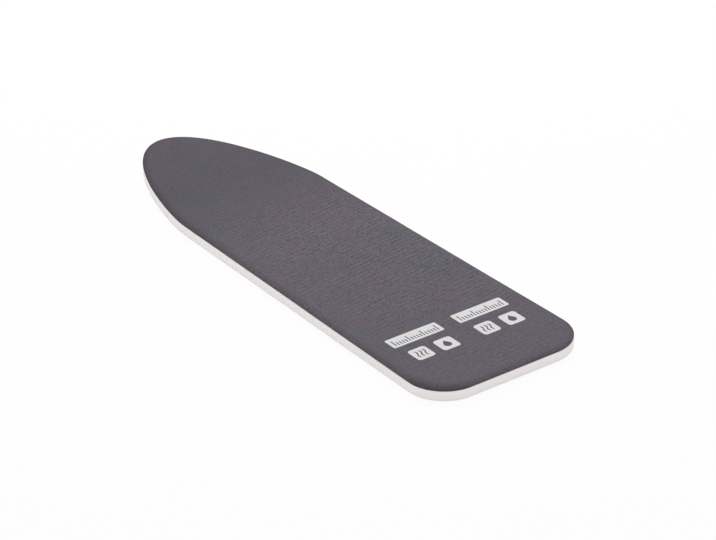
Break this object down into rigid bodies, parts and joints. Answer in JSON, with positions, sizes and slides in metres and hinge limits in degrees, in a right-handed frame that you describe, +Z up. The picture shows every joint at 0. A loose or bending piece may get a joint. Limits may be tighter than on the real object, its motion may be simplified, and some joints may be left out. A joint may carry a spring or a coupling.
{
  "type": "ironing board cover",
  "caption": "Fitted padded ironing board cover: dark ribbed top with a rolled rim, white side band and an elasticated hem that draws it in under a tapered board.",
  "frame": {"origin": "middle of the cover's box, on the surface that its side band rests on", "axes": "+X along the length from the square tail to the pointed nose, +Y across the board, +Z up out of the ironing face"},
  "size_m": [1.25, 0.4, 0.0317],
  "materials": {
    "top_fabric": "dark grey woven cloth with fine cross ribs",
    "foam": "open-cell foam sheet",
    "felt": "pale needle felt",
    "band_cloth": "white woven band",
    "hem_cloth": "white light cloth, gathered",
    "elastic": "white ribbed elastic tape"
  },
  "bodies": {
    "root": {"top_fabric": "top_fabric", "foam_pad": "foam", "felt_backing": "felt", "side_band": "band_cloth", "gathered_hem": "hem_cloth", "hem_elastic": "elastic"}
  },
  "joints": []
}
